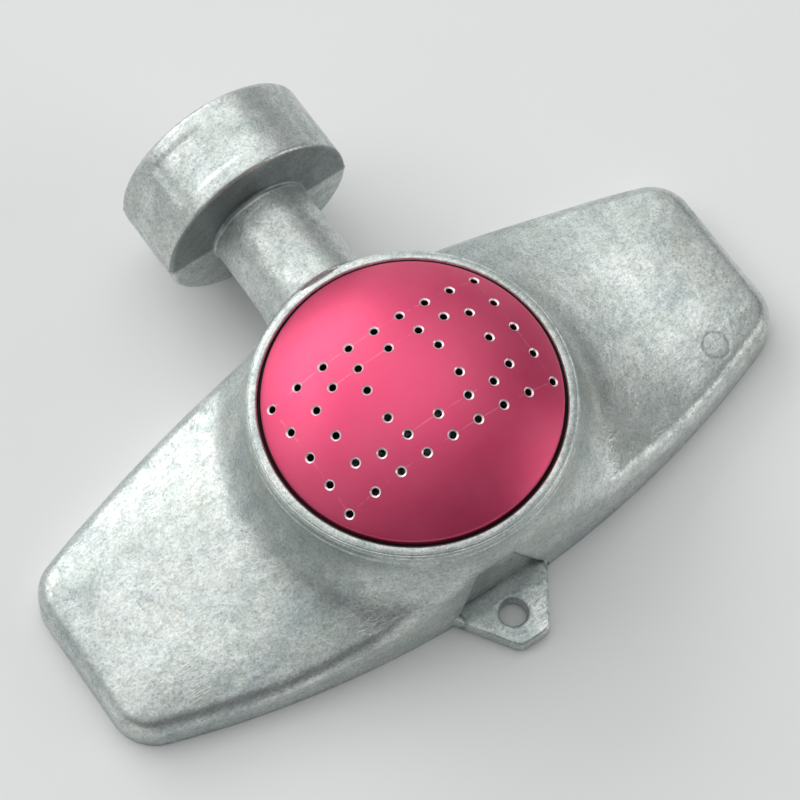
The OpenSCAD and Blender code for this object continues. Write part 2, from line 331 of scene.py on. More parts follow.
class Recipe:
    """A material under construction, with short ways to add and join nodes."""

    def __init__(self, name: str) -> None:
        """Starts a material with its shader and with Object coordinates in millimetres."""
        self.material = bpy.data.materials.new(name)
        self.material.use_nodes = True
        self.tree = self.material.node_tree
        self.shader = self.tree.nodes["Principled BSDF"]
        place = self.tree.nodes.new("ShaderNodeTexCoord")
        scale = (1 / MM,) * 3
        self.place = self.node("ShaderNodeMapping", Vector=place.outputs["Object"], Scale=scale).outputs[0]

    def node(self, kind: str, settings: dict | None = None, **inputs) -> bpy.types.Node:
        """Adds a node.

        Args:
            kind: Blender's name for the node's type.
            settings: Attributes to set on the node.
            inputs: A value, or an output to join, for each input, with _ for a space.

        Returns:
            The new node.
        """
        made = self.tree.nodes.new(kind)
        for key, value in (settings or {}).items():
            setattr(made, key, value)
        for key, value in inputs.items():
            numbered = key[0] == "i" and key[1:].isdigit()
            self.feed(made.inputs[int(key[1:]) if numbered else key.replace("_", " ")], value)
        return made

    def feed(self, socket: Socket, value) -> None:
        """Joins an output to an input, or sets the input's value; a colour gets its alpha."""
        if isinstance(value, Socket):
            self.tree.links.new(value, socket)
        elif isinstance(value, tuple) and len(socket.default_value) == 4:
            socket.default_value = (*value, 1.0)
        else:
            socket.default_value = value

    def math(self, operation: str, a, b=0.0) -> Socket:
        """Returns the output of a Math node."""
        return self.node("ShaderNodeMath", {"operation": operation}, i0=a, i1=b).outputs[0]

    def times(self, a, b) -> Socket:
        """Returns a product."""
        return self.math("MULTIPLY", a, b)

    def minus(self, a, b) -> Socket:
        """Returns a difference."""
        return self.math("SUBTRACT", a, b)

    def near(self, value, at: float, full: float, gone: float) -> Socket:
        """Returns 1 where value is within full of at, and 0 where it is further off than gone."""
        return self.ramp(self.math("ABSOLUTE", self.minus(value, at)), full, gone, 1.0, 0.0)

    def stain(self, colour, tone: tuple, where, share: float) -> Socket:
        """Returns a colour with a share of a tone laid over it, where a pattern is high."""
        return self.mix(self.times(where, share), colour, tone)

    def ramp(self, value, low: float, high: float, start: float = 0.0, end: float = 1.0) -> Socket:
        """Returns value carried smoothly from low..high to start..end, and held outside it."""
        made = self.node("ShaderNodeMapRange", {"interpolation_type": "SMOOTHSTEP"}, Value=value)
        for key, number in zip(RANGE_INPUTS, (low, high, start, end)):
            made.inputs[key].default_value = number
        return made.outputs[0]

    def moved(self, turn: tuple = (0, 0, 0), scale: tuple = (1, 1, 1), shift: tuple = (0, 0, 0)) -> Socket:
        """Returns the coordinates turned, in degrees, stretched and shifted."""
        radians = tuple(math.radians(a) for a in turn)
        return self.node(
            "ShaderNodeMapping", Vector=self.place, Rotation=radians, Scale=scale, Location=shift
        ).outputs[0]

    def noise(
        self, scale: float, detail: float = 2, rough: float = 0.5, bent: float = 0.0, where=None
    ) -> Socket:
        """Returns a noise pattern's value; one unit of scale is one cell per millimetre."""
        return self.node(
            "ShaderNodeTexNoise", Vector=where or self.place, Scale=scale, Detail=detail,
            Roughness=rough, Distortion=bent,
        ).outputs["Fac"]

    def mix(self, amount, first, second) -> Socket:
        """Returns the mix of two colours."""
        made = self.node("ShaderNodeMix", {"data_type": "RGBA"})
        for number, value in zip(MIX_INPUTS, (amount, first, second)):
            self.feed(made.inputs[number], value)
        return made.outputs[MIX_OUTPUT]

    def split(self) -> tuple:
        """Returns x, y and z in millimetres."""
        return tuple(self.node("ShaderNodeSeparateXYZ", Vector=self.place).outputs)

    def height_pattern(self, height, strength: float, depth_mm: float, under=None) -> Socket:
        """Returns the normal of a bump whose full height is depth_mm."""
        made = self.node("ShaderNodeBump", Height=height, Strength=strength, Distance=depth_mm * MM)
        if under is not None:
            self.tree.links.new(under, made.inputs["Normal"])
        return made.outputs[0]

    def finish(self, **inputs) -> bpy.types.Material:
        """Sets the shader's inputs and returns the material."""
        for key, value in inputs.items():
            self.feed(self.shader.inputs[key.replace("_", " ")], value)
        return self.material


@dataclass(frozen=True)
class CastFinish:
    """Raw die-cast metal: cloudy oxide, flow marks, fine grain, flecks and scratches."""

    pale: tuple = (0.80, 0.84, 0.81)
    cool: tuple = (0.52, 0.585, 0.585)
    green: tuple = (0.56, 0.62, 0.56)
    warm: tuple = (0.71, 0.69, 0.62)
    dark: tuple = (0.15, 0.18, 0.185)
    bright: tuple = (0.93, 0.95, 0.94)
    metallic: float = 0.85
    mark_x: float = 52.4
    mark_y: float = -14.8
    mark_radius: float = 2.2

    def material(self) -> bpy.types.Material:
        """Returns the material.

        Returns:
            Clouds of three sizes pick between the oxide colours. Stretched noise gives flow marks
            and scratches, a cell pattern gives flecks, and a ring is the mark of an ejector pin.
            Painted shade darkens the upper half of the socket's rear face and the pocket above the lug.
        """
        r = Recipe("cast_metal_raw")
        x, y, z = r.split()
        cloud = r.ramp(r.noise(0.05, 5, 0.62, 0.7), 0.40, 0.60)
        patch = r.ramp(r.noise(0.17, 7, 0.7, 0.9, r.moved(shift=(40, 7, 3))), 0.44, 0.60)
        blotch = r.ramp(r.noise(0.55, 6, 0.72, 0.4, r.moved(shift=(3, 70, 9))), 0.4, 0.68)
        flow = r.ramp(r.noise(0.3, 5, 0.65, 0.5, r.moved((0, 0, 12), (0.16, 1, 1))), 0.42, 0.66)
        grain = r.noise(1.9, 5, 0.75)
        smear = r.ramp(r.noise(0.8, 6, 0.75, 1.2, r.moved((0, 0, -30), (0.45, 1, 1), (8, 8, 1))), 0.46, 0.62)
        warmth = r.ramp(r.noise(0.11, 4, 0.6, 0.3, r.moved(shift=(9, 31, 55))), 0.5, 0.7)
        colour = r.mix(cloud, self.cool, self.pale)
        for tone, where, share in (
            (self.green, patch, 0.62), (self.warm, warmth, 0.6), (self.dark, blotch, 0.26),
            (self.cool, smear, 0.34), (self.pale, flow, 0.38),
        ):
            colour = r.stain(colour, tone, where, share)
        pits, sparks = r.noise(3.4, 2, 0.6), r.noise(2.6, 2, 0.6, 0.0, r.moved(shift=(5, 5, 5)))
        colour = r.mix(r.ramp(grain, 0.42, 0.66, 0.0, 0.40), colour, self.dark)
        colour = r.mix(r.ramp(pits, 0.56, 0.72, 0.0, 0.45), colour, self.dark)
        colour = r.mix(r.ramp(sparks, 0.58, 0.72, 0.0, 0.5), colour, self.bright)
        cells = r.node("ShaderNodeTexVoronoi", Vector=r.place, Scale=0.9, Randomness=1.0).outputs["Distance"]
        fleck = r.times(r.ramp(cells, 0.10, 0.22, 1.0, 0.0), r.ramp(r.noise(0.22, 3), 0.5, 0.62))
        scratches = self.scratches(r)
        # Painted shade: the dark tone over the upper half of the socket's rear face stands in for the shade
        # that half lies in.
        shade = r.times(r.ramp(y, 43.9, 44.1), r.ramp(y, 44.95, 45.25, 1.0, 0.0))
        shade = r.times(shade, r.ramp(z, 17.3, 18.2))
        away = r.node("ShaderNodeCombineXYZ", i0=r.minus(x, self.mark_x), i1=r.minus(y, self.mark_y))
        reach = r.node("ShaderNodeVectorMath", {"operation": "LENGTH"}, i0=away.outputs[0]).outputs["Value"]
        ring = r.near(reach, self.mark_radius, 0.02, 0.5)
        ring = r.times(ring, r.ramp(r.noise(0.5, 2, 0.5), 0.35, 0.55, 0.25, 1.0))
        # Flecks, scratches and the ejector pin's ring are marks of the metal; the rear-face mask and the pocket
        # mask are painted shade.
        for tone, where, share in (
            (self.dark, fleck, 0.5), (self.pale, scratches, 0.5), (self.dark, shade, 0.72),
            (self.dark, self.pocket_painted_shade(r, x, y, z), 0.75), (self.dark, ring, 0.3),
        ):
            colour = r.stain(colour, tone, where, share)
        seam = r.times(r.ramp(y, 1.7, 2.6), r.times(r.ramp(x, 35, 38), r.ramp(x, 49, 52, 1.0, 0.0)))
        rough = r.math("ADD", r.ramp(grain, 0.3, 0.8, 0.0, 0.10), r.ramp(blotch, 0.0, 1.0, 0.0, 0.12))
        rough = r.math("ADD", rough, r.ramp(cloud, 0.0, 1.0, 0.34, 0.26))
        normal = r.height_pattern(r.noise(0.3, 3, 0.5), 0.7, 0.22)
        normal = r.height_pattern(r.noise(0.85, 3, 0.6), 0.6, 0.07, normal)
        normal = r.height_pattern(grain, 0.8, 0.06, normal)
        normal = r.height_pattern(r.minus(seam, ring), 0.6, 0.1, normal)
        normal = r.height_pattern(r.minus(scratches, fleck), 0.5, 0.03, normal)
        return r.finish(Base_Color=colour, Metallic=self.metallic, Roughness=rough, Normal=normal)

    def pocket_painted_shade(self, r: Recipe, x, y, z) -> Socket:
        """Returns painted shade along the step round the pocket above the lug, and fainter painted shade over
        the pocket's face.

        It lies where the least distance inside the pocket's left, right and top edges is small.

        Args:
            r: The material under construction.
            x: Distance along the wings.
            y: Distance towards the inlet.
            z: Height above the ground.

        Returns:
            The painted shade, from 0 to 1.
        """
        left = r.minus(r.math("ADD", x, POCKET_LEFT), r.times(z, POCKET_LEFT_LEAN))
        right = r.minus(r.minus(POCKET_RIGHT, r.times(z, POCKET_RIGHT_LEAN)), x)
        within = r.math("MINIMUM", r.math("MINIMUM", left, right), r.minus(POCKET_TOP, z))
        # Painted shade: a dark line just inside the pocket's edges and a lighter darkening over its face, where
        # the recess lies in shade.
        line = r.near(within, 0.2, 0.1, 0.5)
        face = r.ramp(within, 0.2, 0.6, 0.0, 0.28)
        off_lug = r.times(r.ramp(y, -30.2, -29.4), r.ramp(y, -27.0, -25.0, 1.0, 0.0))
        return r.times(r.math("MAXIMUM", line, face), off_lug)

    def scratches(self, r: Recipe) -> Socket:
        """Returns fine scratches in three directions, as thin bands of stretched noise."""
        lines = [
            r.near(r.noise(1.0, 1, 0.4, 0.2, r.moved(turn, (0.05, 0.9, 0.9), shift)), 0.5, 0.004, 0.016)
            for turn, shift in (((0, 0, 35), (5, 0, 2)), ((0, 0, -48), (31, 8, 0)), ((0, 0, 82), (1, 66, 4)))
        ]
        some = r.ramp(r.noise(0.12, 2, 0.5, 0.0, r.moved(shift=(14, 5, 77))), 0.5, 0.62)
        both = r.math("MAXIMUM", r.math("MAXIMUM", lines[0], lines[1]), lines[2])
        return r.times(both, some)


@dataclass(frozen=True)
class RoseFinish:
    """Satin dyed sheet: an even red-pink skin with faint marking-out lines between the holes."""

    dye: tuple = (0.76, 0.064, 0.175)
    worn: tuple = (0.92, 0.27, 0.38)
    metallic: float = 0.85
    line_x: float = 19.8
    line_y: float = 10.85
    inner_y: float = 6.84
    inner_reach: float = 11.0

    def material(self) -> bpy.types.Material:
        """Returns the material: the lines are where |x| or |y| is near a row of holes."""
        r = Recipe("rose_red_satin")
        x, y, _ = r.split()
        ax, ay = r.math("ABSOLUTE", x), r.math("ABSOLUTE", y)

        def line(value, at: float, across, reach: float) -> Socket:
            """Returns a thin line where value is at, as far as reach across."""
            return r.times(r.near(value, at, 0.03, 0.16), r.ramp(across, reach, reach + 0.8, 1.0, 0.0))

        lines = line(ay, self.inner_y, ax, self.inner_reach)
        for outer in (line(ay, self.line_y, ax, self.line_x), line(ax, self.line_x, ay, self.line_y)):
            lines = r.math("MAXIMUM", lines, outer)
        broken = r.times(lines, r.ramp(r.noise(0.35, 3, 0.6), 0.42, 0.62))
        grain = r.noise(2.6, 3, 0.6)
        cloud = r.noise(0.08, 4, 0.6)
        colour = r.mix(r.ramp(cloud, 0.3, 0.7, 0.0, 0.12), self.dye, self.worn)
        colour = r.stain(colour, self.worn, broken, 0.5)
        rough = r.math("ADD", r.ramp(grain, 0.3, 0.7, 0.40, 0.46), r.ramp(cloud, 0.3, 0.7, 0.0, 0.05))
        normal = r.height_pattern(grain, 0.35, 0.012)
        normal = r.height_pattern(broken, 0.4, 0.02, normal)
        return r.finish(
            Base_Color=colour, Metallic=self.metallic, Roughness=rough, Normal=normal,
            Coat_Weight=0.5, Coat_Roughness=0.38,
        )

    def bare(self) -> bpy.types.Material:
        """Returns the bright metal that drilling laid bare round each hole."""
        r = Recipe("rose_bare_metal")
        colour = r.mix(r.noise(2.0, 3), (0.95, 0.66, 0.72), (0.98, 0.92, 0.93))
        return r.finish(Base_Color=colour, Metallic=0.6, Roughness=r.ramp(r.noise(4.0, 2), 0.3, 0.7, 0.24, 0.4))

    def painted_hole_shade(self) -> bpy.types.Material:
        """Returns near-black painted shade for the holes' walls and the sheet's underside."""
        r = Recipe("rose_hole_painted_shade")
        colour = r.mix(r.noise(1.5, 3), (0.02, 0.005, 0.01), (0.05, 0.015, 0.025))
        return r.finish(Base_Color=colour, Metallic=0.2, Roughness=r.ramp(r.noise(3.0, 2), 0.3, 0.7, 0.5, 0.7))


@dataclass(frozen=True)
class RubberFinish:
    """Moulded rubber with a dusty bloom."""

    name: str = "black_rubber_moulded"
    tone: tuple = (0.003, 0.003, 0.003)
    bloom: tuple = (0.010, 0.010, 0.010)

    def material(self) -> bpy.types.Material:
        """Returns the material: a fine grain with a paler bloom in clouds."""
        r = Recipe(self.name)
        grain = r.noise(3.0, 4, 0.6)
        colour = r.mix(r.ramp(r.noise(0.4, 5, 0.7), 0.4, 0.7), self.tone, self.bloom)
        return r.finish(
            Base_Color=colour, Roughness=r.ramp(grain, 0.3, 0.7, 0.6, 0.75),
            Normal=r.height_pattern(grain, 0.4, 0.02), Specular_IOR_Level=0.25,
        )


@dataclass(frozen=True)
class BrightMetalFinish:
    """Plain metal worked bright: pressed brass or drawn steel wire, with a little tarnish."""

    name: str = "rim_brass_pressed"
    bright: tuple = (0.80, 0.62, 0.32)
    tarnish: tuple = (0.45, 0.31, 0.13)
    roughness: float = 0.25

    def material(self) -> bpy.types.Material:
        """Returns the material: tarnish in clouds, and fine drawing lines in the grain."""
        r = Recipe(self.name)
        cloud = r.noise(0.7, 5, 0.65)
        grain = r.noise(5.0, 3, 0.6)
        colour = r.mix(r.ramp(cloud, 0.4, 0.75), self.bright, self.tarnish)
        rough = r.ramp(grain, 0.3, 0.7, self.roughness, self.roughness + 0.15)
        normal = r.height_pattern(grain, 0.3, 0.01)
        return r.finish(Base_Color=colour, Metallic=1.0, Roughness=rough, Normal=normal)


# ---------------------------------------------------------------- the die-cast body


@dataclass
class Base:
    """The winged base and its turret, as one closed surface round the turret's axis."""

    half_length: float = 66.0
    half_width: float = 28.4
    end_half_width: float = 15.8
    corner_radius: float = 5.0
    wing_height: float = 9.0
    crown_drop: float = 2.8
    crown_width: float = 16.0
    edge_round: float = 2.3
    draft: float = 0.055
    rim_height: float = 26.4
    rim_radius: float = 26.9
    lip_radius: float = 24.9
    groove_radius: float = 26.0
    chamber_radius: float = 22.5
    floor_height: float = 3.0
    step_radius: float = 27.1
    sweep_radius: float = 15.0
    sweep_top: float = 23.0
    sweep_end: float = 60.0
    root_fillet: float = 5.0
    hollow_height: float = 4.6
    edge_wall: float = 4.2
    chamber_wall: float = 29.4
    columns: int = 440

    def inset(self, x: Array, y: Array) -> Array:
        """Measures how far a point lies inside the base's outline.

        Each long side is one arc of a large circle and each end is straight. The inset is the
        lesser of the two distances, rounded at the corners by the corner radius.

        Args:
            x: Distance along the wings.
            y: Distance towards the inlet.

        Returns:
            The inset in millimetres, negative outside.
        """
        bulge = self.half_width - self.end_half_width
        side_radius = (self.half_length ** 2 + bulge ** 2) / (2 * bulge)
        side = side_radius - np.hypot(x, np.abs(y) + side_radius - self.half_width)
        end = self.half_length - np.abs(x)
        r = self.corner_radius
        corner = r - np.hypot(np.maximum(r - side, 0), np.maximum(r - end, 0))
        return corner + np.maximum(np.minimum(side, end) - r, 0)

    def distance(self, radius: Array, height: Array, angle: Array) -> Array:
        """Measures the signed distance to the outer skin.

        The wing is everything under a crowned top. The turret is everything under a concave arc
        that ends in a straight tail. They join with a fillet, and the leaning side walls trim
        both with a rounded edge, which is tighter on the turret.

        Args:
            radius: Distance from the turret's axis.
            height: Height above the ground.
            angle: Direction round the turret's axis, in radians.

        Returns:
            The signed distance, negative inside.
        """
        inset = self.inset(radius * np.cos(angle), radius * np.sin(angle))
        crown = self.wing_height - self.crown_drop * (1 - np.clip(inset / self.crown_width, 0, 1)) ** 2
        wing = height - crown
        out, down = self.step_radius + self.sweep_radius - radius, self.sweep_top - height
        end = math.radians(self.sweep_end)
        arc = self.sweep_radius - np.hypot(np.maximum(out, 0), np.maximum(down, 0))
        tail = self.sweep_radius - (out * math.cos(end) + down * math.sin(end))
        turret = np.where(down * math.cos(end) > out * math.sin(end), tail, arc)
        body = fillet_join(wing, turret, self.root_fillet)
        rounding = self.edge_round - (self.edge_round - 0.6) * ease((height - 7) / 11)
        return rounded_trim(body, self.draft * height - inset, rounding)

    def outer_radius(self, angle: Array, inset: float) -> Array:
        """Finds how far the outline, drawn in by an inset, lies from the axis in each direction.

        Args:
            angle: Directions in radians.
            inset: How far the outline is drawn in.

        Returns:
            The radius in each direction, by repeated halving.
        """
        return halved(
            np.full_like(angle, 15.0), np.full_like(angle, 75.0),
            lambda radius: self.inset(radius * np.cos(angle), radius * np.sin(angle)) > inset,
        )

    def skin(self, angle: Array, rays: int = 320, rows: int = 78) -> Array:
        """Finds the section of the skin in every upright half-plane through the axis.

        Rays fan from a centre low in the wall, from the top of the sweep down to the ground. Each
        one steps outwards by the distance to the skin until it gets there.

        Args:
            angle: Directions of the half-planes in radians.
            rays: Rays in each fan.
            rows: Points kept on each section.

        Returns:
            Radius and height, as directions by rows by 2 numbers.
        """
        edge = self.outer_radius(angle, 0.0)
        centre = np.minimum(self.step_radius - 0.1, edge - 8.0)
        top = halved(
            centre, np.full_like(angle, self.step_radius + 1),
            lambda radius: self.distance(radius, self.sweep_top, angle) < 0,
        )
        steepest = np.arctan2(self.sweep_top, top - centre)
        lean = steepest[:, None] * (1 - np.linspace(0, 1, rays))[None]
        start, way = centre[:, None], angle[:, None]
        reach = np.full_like(lean, 0.5)
        for _ in range(MARCHES):
            gap = self.distance(start + reach * np.cos(lean), reach * np.sin(lean), way)
            reach = reach - 0.8 * gap
        reach[:, 0] = self.sweep_top / np.sin(steepest)
        section = np.stack([start + reach * np.cos(lean), reach * np.sin(lean)], axis=-1)
        return spread(section, rows, 5.0)

    def underside(self, angle: Array) -> Array:
        """Draws the section under the base: the foot, a wing's hollow and the chamber's floor.

        Args:
            angle: Directions in radians.

        Returns:
            Radius and height, as directions by points by 2 numbers.
        """
        edge, wall = self.outer_radius(angle, 0.0), self.outer_radius(angle, self.edge_wall)
        room = ease((wall - self.chamber_wall) / 4)
        depth = self.hollow_height * room
        far = np.maximum(wall, self.chamber_wall * 0.82)
        near = np.minimum(self.chamber_wall, far - 0.4)
        zero = np.zeros_like(edge)
        stops = [
            (edge - 0.3, zero), (far + 0.3, zero), (far, 0.3 * room), (far - 0.3, depth * 0.9),
            (far - 0.9 * room - 0.05, depth), ((far + near) / 2, depth), (near + 0.9 * room, depth),
            (near + 0.3, depth * 0.9), (near, 0.3 * room), (near - 0.3, zero), (near * 0.6, zero),
            (near * 0.1, zero),
        ]
        return np.stack([np.stack(stop, axis=-1) for stop in stops], axis=1)

    def rim(self) -> Array:
        """Draws the fixed section from the chamber's floor, over the rolled lip, to the step ring.

        Returns:
            Rows of radius and height.
        """
        top, lip, outside = self.rim_height, self.lip_radius, self.rim_radius
        chamber, groove, ledge, step = self.chamber_radius, self.groove_radius, top - 3.2, self.step_radius
        inside = np.array([
            (2.0, self.floor_height), (chamber, self.floor_height), (chamber, ledge), (groove, ledge),
            (groove, top - 0.8),
        ])
        corners = np.array([
            (25.5, top - 0.8), (lip, top - 0.8), (lip, top - 0.25), (25.2, top + 0.02), (25.75, top - 0.03),
            (26.3, top - 0.22), (26.42, top - 0.38), (26.55, top - 0.34), (outside, top - 0.8),
            (outside, 24.05), (step, 23.75), (step, 23.2),
        ])
        cut = np.array([0, 0.15, 0.12, 0.12, 0.2, 0.05, 0.05, 0.06, 0.25, 0.1, 0.08, 0])
        return np.concatenate([inside, softened(corners, cut, closed=False, steps=3)])

    def press_marks(self, points: Array) -> Array:
        """Sinks the pocket above the lug into the front wall, and raises a small pad behind.

        The pocket is a trapezoid on the front wall. Its depth is full inside and eases out over
        0.4 mm at its left, right and top edges, and it gets shallower towards the top. A shallow
        oval is sunk in its left.

        Args:
            points: The skin's points.

        Returns:
            The points, moved.
        """
        x, y, z = points[..., 0], points[..., 1], points[..., 2]
        front = ease((-y - 18) / 4)
        rise = (z - 3.0) / 12.8
        left = x + POCKET_LEFT - POCKET_LEFT_LEAN * z
        right = POCKET_RIGHT - POCKET_RIGHT_LEAN * z - x
        within = np.minimum(np.minimum(left, right), POCKET_TOP - z)
        depth = (0.85 + 0.45 * (1 - rise)) * ease(within / 0.4) * ease((z - 0.4) / 0.8)
        oval = 0.4 * ease(2.5 - 2.2 * np.hypot((x + 5.2) / 1.7, (z - 9.0) / 3.6))
        behind = 0.7 * ease(1.3 - np.hypot((x + 11.6) / 1.5, (z - 17) / 7.0)) * ease((y - 20) / 4)
        moved = points.copy()
        moved[..., 1] += front * (depth + oval * ease(within)) + behind
        return moved

    def surface(self) -> Surface:
        """Builds the closed surface: rim, skin and underside, one section for each direction.

        Returns:
            The surface of the base and turret.
        """
        angle = np.linspace(0, 2 * np.pi, self.columns, endpoint=False)
        skin = self.skin(angle)
        rim = np.repeat(self.rim()[None], self.columns, axis=0)
        shrink = (self.step_radius - skin[:, 0, 0])[:, None]
        step_ring = (rim[..., 1] < 23.9) & (rim[..., 0] > 26.5)
        rim[..., 0] -= shrink * step_ring
        section = np.concatenate([rim, skin, self.underside(angle)], axis=1)
        radius, height, way = section[..., 0], section[..., 1], angle[:, None]
        grid = np.stack([radius * np.cos(way), radius * np.sin(way), height], axis=-1)
        return Surface.from_grid(self.press_marks(grid).swapaxes(0, 1))


@dataclass
class Inlet:
    """The neck and the threaded inlet socket, as one closed surface along the inlet's axis."""

    axis_height: float = 17.5
    wall_radius: float = 26.45
    neck_radius: float = 9.1
    socket_radius: float = 17.5
    socket_back: float = 44.2
    socket_mouth: float = 59.6
    minor_radius: float = 12.06
    major_radius: float = 13.22
    pitch: float = 1.814
    thread_start: float = 49.5
    thread_end: float = 58.4
    relief_radius: float = 13.4
    seat: float = 46.5
    passage_radius: float = 6.2
    passage_end: float = 30.0
    back_draft: float = 0.05
    parting_ridge: float = 0.14
    columns: int = 160

    def outside(self) -> Array:
        """Draws the outer section: distance along the axis and radius, from the neck to the mouth.

        Returns:
            Rows of distance and radius.
        """
        back, mouth = self.socket_back, self.socket_mouth
        corners = np.array([
            (27.0, self.neck_radius + 0.12), (36.0, self.neck_radius), (back, self.neck_radius - 0.1),
            (back, self.socket_radius), (mouth, self.socket_radius), (mouth, self.minor_radius + 1.3),
        ])
        return softened(corners, np.array([0, 0.5, 0.5, 0.8, 1.0, 0]), closed=False, steps=7)

    def thread(self, way: Array) -> tuple[Array, Array]:
        """Draws the pipe thread: the radius swings between crest and root once for each pitch.

        The swing is a cosine of the distance less the turn's share of the pitch, flattened at
        both ends, and fades out where the thread runs into the relief and into the mouth.

        Args:
            way: Directions round the inlet's axis, in radians.

        Returns:
            Distances and radii, each as rows by directions.
        """
        along = np.linspace(self.thread_end - 0.25, self.thread_start + 0.25, 50)[:, None] + 0.0 * way
        swing = np.cos(2 * np.pi * along / self.pitch - way)
        swing = np.clip(1.25 * swing, -1, 1)
        fade = ease((self.thread_end - along) / 1.0) * ease((along - self.thread_start) / 1.0)
        middle, half = (self.major_radius + self.minor_radius) / 2, (self.major_radius - self.minor_radius) / 2
        return along, middle + half * swing * fade + 0.05 * (1 - fade)

    def surface(self) -> Surface:
        """Builds the closed surface: root, outside, mouth, thread, relief, seat and passage.

        The root lies on a cylinder just inside the turret's wall. The back of the socket leans
        forward above and below its middle, as it draws from two dies, which leave a low ridge
        where they part and a shallow patch on top of the socket.

        Returns:
            The surface of the inlet.
        """
        way = np.linspace(0, 2 * np.pi, self.columns, endpoint=False)[None]
        outside = denser(self.outside(), 0.5)
        along, radius = outside[:, :1] + 0.0 * way, outside[:, 1:] + 0.0 * way
        upright, level = np.sin(way), np.abs(np.cos(way))
        side = ease((along - self.socket_back + 0.2) / 0.2) * ease((self.socket_back + 6 - along) / 4)
        along = along + side * self.back_draft * radius * np.abs(upright)
        ridge = self.parting_ridge * ease(1 - np.abs(upright) * radius / 0.45)
        turn = np.degrees(np.arctan2(np.cos(way), upright))
        patch = ease((turn + 45.5) / 2.0) * ease((14 - turn) / 9.0)
        patch = patch * ease((along - 48.0) / 0.4) * ease((56.8 - along) / 0.4)
        patch = patch * (radius > self.socket_radius - 1)
        radius = radius + ridge - 0.2 * patch
        flare = 0.6 * ease((31.0 - along) / 4.5) * (0.25 + 0.75 * ease(0.6 - upright))
        radius = radius + flare * level
        first_along, first_radius = along[:1], radius[:1]
        share = np.array([0.02, 0.5, 0.85, 1.0])[:, None]
        root_x = share * first_radius * np.cos(way)
        root = (np.sqrt(self.wall_radius ** 2 - np.minimum(np.abs(root_x), 20.0) ** 2), share * first_radius)
        bore_along, bore_radius = self.thread(way)
        chamfer = softened(
            np.array([(self.socket_mouth, self.minor_radius + 1.2), (self.thread_end - 0.2, 12.55)]),
            np.zeros(2), closed=False,
        )
        inner = softened(
            np.array([
                (self.thread_start, self.minor_radius + 0.6), (self.thread_start - 0.3, self.relief_radius),
                (self.seat, self.relief_radius), (self.seat, self.passage_radius),
                (self.passage_end, self.passage_radius - 0.2), (self.passage_end, 0.5),
            ]),
            np.array([0, 0.1, 0.2, 0.3, 0.2, 0]), closed=False, steps=4,
        )
        flat = 0.0 * way
        along = np.concatenate([root[0], along, chamfer[:, :1] + flat, bore_along, inner[:, :1] + flat])
        radius = np.concatenate([
            root[1] + flat, radius, chamfer[:, 1:] + flat, bore_radius, inner[:, 1:] + flat,
        ])
        grid = np.stack([radius * np.cos(way), along, self.axis_height + radius * np.sin(way)], axis=-1)
        return Surface.from_grid(grid)


@dataclass
class Lug:
    """The pierced lug under the front wall, as a closed ring round its hole."""

    middle_x: float = -1.7
    hole_x: float = -2.3
    hole_y: float = -32.3
    hole_radius: float = 2.35
    thickness: float = 3.0
    root_half: float = 9.2
    tip_half: float = 2.9
    root_y: float = -28.4
    tip_y: float = -38.1
    inner_y: float = -26.6
    sharpness: int = 16
    columns: int = 144

    def outline(self, way: Array) -> Array:
        """Finds how far the lug's edge lies from the hole's middle in each direction.

        Each straight edge is a distance along the ray to its line. The reciprocal distances are
        added at a high power, which rounds the corners.

        Args:
            way: Directions in radians.

        Returns:
            The distance in each direction.
        """
        lean = np.array([self.root_y - self.tip_y, self.root_half - self.tip_half])
        lean = lean / np.linalg.norm(lean)
        normals = np.array([(0, -1), (0, 1), (lean[0], -lean[1]), (-lean[0], -lean[1])])
        marks = np.array([
            (0, self.tip_y), (0, self.inner_y), (self.middle_x + self.tip_half, self.tip_y),
            (self.middle_x - self.tip_half, self.tip_y),
        ])
        gap = np.einsum("ij,ij->i", normals, marks - np.array([self.hole_x, self.hole_y]))
        facing = normals @ np.stack([np.cos(way), np.sin(way)])
        nearness = np.maximum(facing, 0.0) / gap[:, None]
        return np.sum(nearness ** self.sharpness, axis=0) ** (-1 / self.sharpness)

    def surface(self) -> Surface:
        """Builds the ring: hole wall, top, edge and bottom, scaled between hole and outline.

        Returns:
            The surface of the lug.
        """
        way = np.linspace(0, 2 * np.pi, self.columns, endpoint=False)
        far = self.outline(way)[None]
        share, worn, height = np.array([
            (0, 0, 0.2), (0, 0, 1), (0, 0, 2.4), (0, -0.1, 2.86), (0, -0.28, 3),
            (0.2, 0.55, 3), (0.5, 0.55, 3), (0.8, 0.55, 3),
            (1, 0.55, 3), (1, 0.4, 2.97), (1, 0.2, 2.86), (1, 0.06, 2.66), (1, 0, 2.4), (1, 0, 1.3),
            (1, 0.02, 0.3), (1, 0.15, 0), (0.75, 0.2, 0), (0.4, 0.2, 0), (0.05, 0, 0),
        ]).T[:, :, None]
        radius = self.hole_radius + (far - worn - self.hole_radius) * share - worn * (share == 0)
        height = height * self.thickness / 3.0 + 0.0 * radius
        x, y = self.hole_x + radius * np.cos(way), self.hole_y + radius * np.sin(way)
        grid = np.stack([x, y, height], axis=-1)
        return Surface.from_grid(grid, ring=True)


@dataclass
class BodyCasting:
    """The whole die-casting: base and turret, inlet and lug in one piece."""

    base: Base
    inlet: Inlet
    lug: Lug
    finish: CastFinish

    def build(self) -> bpy.types.Object:
        """Builds and dresses the casting."""
        surfaces = [self.base.surface(), self.inlet.surface(), self.lug.surface()]
        piece = make_piece("body_casting_skin", surfaces, Rides.SPRINKLER, "cast_metal", "body_casting")
        piece.data.materials.append(self.finish.material())
        return piece


# ---------------------------------------------------------------- the rose and its gasket


